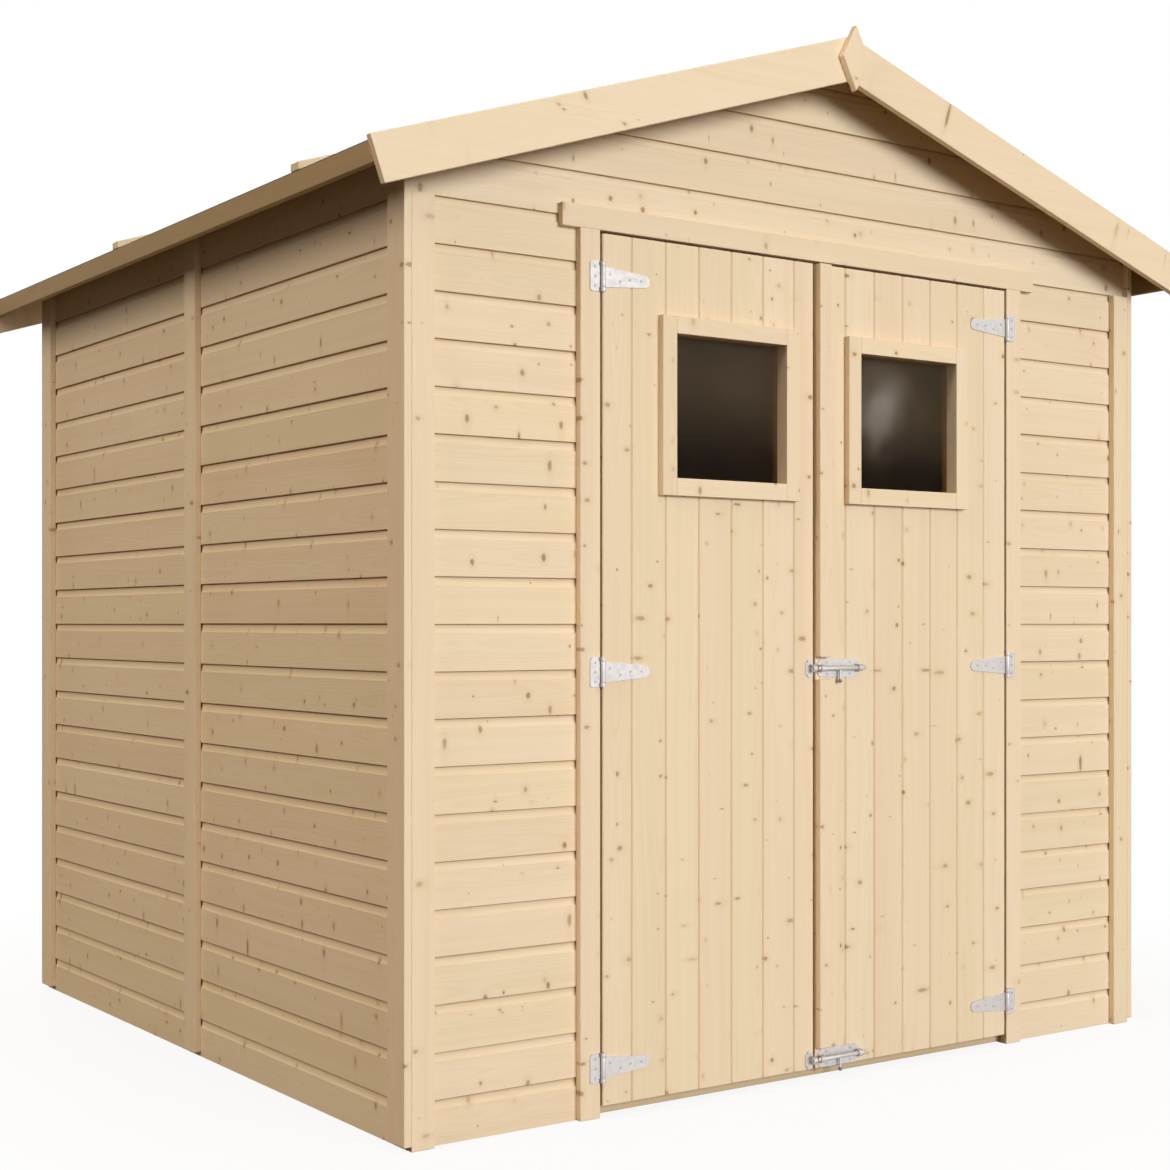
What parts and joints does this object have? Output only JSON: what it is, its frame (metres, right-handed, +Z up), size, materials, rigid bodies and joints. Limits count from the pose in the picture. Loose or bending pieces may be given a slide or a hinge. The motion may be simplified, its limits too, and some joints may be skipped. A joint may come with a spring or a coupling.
{
  "type": "garden shed",
  "caption": "Pale wooden garden shed with shiplap walls, a low pitched roof with bargeboards and a diamond finial, and a pair of ledged doors with square windows.",
  "frame": {"origin": "middle of the shed's footprint, on the ground", "axes": "+Z up, the doors face -Y, +X to the right when facing the doors"},
  "size_m": [2.314, 2.218, 2.254],
  "materials": {
    "pale_wood": "matte",
    "frame_wood": "matte",
    "roof_felt": "matte",
    "zinc": "satin",
    "glass": "glossy"
  },
  "bodies": {
    "shed": {"floor_deck": "frame_wood", "floor_bearers": "frame_wood", "front_wall_left": "pale_wood", "front_wall_right": "pale_wood", "front_gable": "pale_wood", "left_wall_front": "pale_wood", "left_wall_rear": "pale_wood", "right_wall_front": "pale_wood", "right_wall_rear": "pale_wood", "back_wall_left": "pale_wood", "back_wall_right": "pale_wood", "back_gable": "pale_wood", "front_back_studs": "frame_wood", "side_studs": "frame_wood", "front_back_rails": "frame_wood", "side_rails": "frame_wood", "front_corner_trims": "pale_wood", "back_corner_trims": "pale_wood", "side_corner_trims": "pale_wood", "cover_strips": "pale_wood", "door_posts": "pale_wood", "door_header": "pale_wood", "roof_beams": "frame_wood", "roof_left_deck": "pale_wood", "roof_right_deck": "pale_wood", "roof_felt": "roof_felt", "roof_battens": "pale_wood", "eave_fascias": "pale_wood", "front_bargeboards": "pale_wood", "back_bargeboards": "pale_wood", "front_finial": "pale_wood", "back_finial": "pale_wood", "hinge_plates": "zinc"},
    "left_door": {"left_door_leaf": "pale_wood", "left_door_ledges": "frame_wood", "left_window_frame": "pale_wood", "left_window_glass": "glass", "left_hinge_straps": "zinc", "bolt_keepers": "zinc"},
    "right_door": {"right_door_leaf": "pale_wood", "right_door_ledges": "frame_wood", "right_window_frame": "pale_wood", "right_window_glass": "glass", "right_hinge_straps": "zinc", "meeting_strips": "pale_wood", "bolt_plates": "zinc"},
    "middle_bolt": {"middle_bolt": "zinc"},
    "bottom_bolt": {"bottom_bolt": "zinc"}
  },
  "joints": [
    {"name": "left_door_hinge", "type": "hinge", "parent": "shed", "child": "left_door", "pos_m": [-0.581, -0.9985, 0.889], "axis": [0, 0, -1], "range_deg": [0, 165]},
    {"name": "right_door_hinge", "type": "hinge", "parent": "shed", "child": "right_door", "pos_m": [0.581, -0.9985, 0.889], "axis": [0, 0, 1], "range_deg": [0, 165]},
    {"name": "middle_bolt_slide", "type": "slide", "parent": "right_door", "child": "middle_bolt", "axis": [-1, 0, 0], "range_m": [0, 0.02]},
    {"name": "bottom_bolt_slide", "type": "slide", "parent": "right_door", "child": "bottom_bolt", "axis": [-1, 0, 0], "range_m": [0, 0.02]}
  ]
}
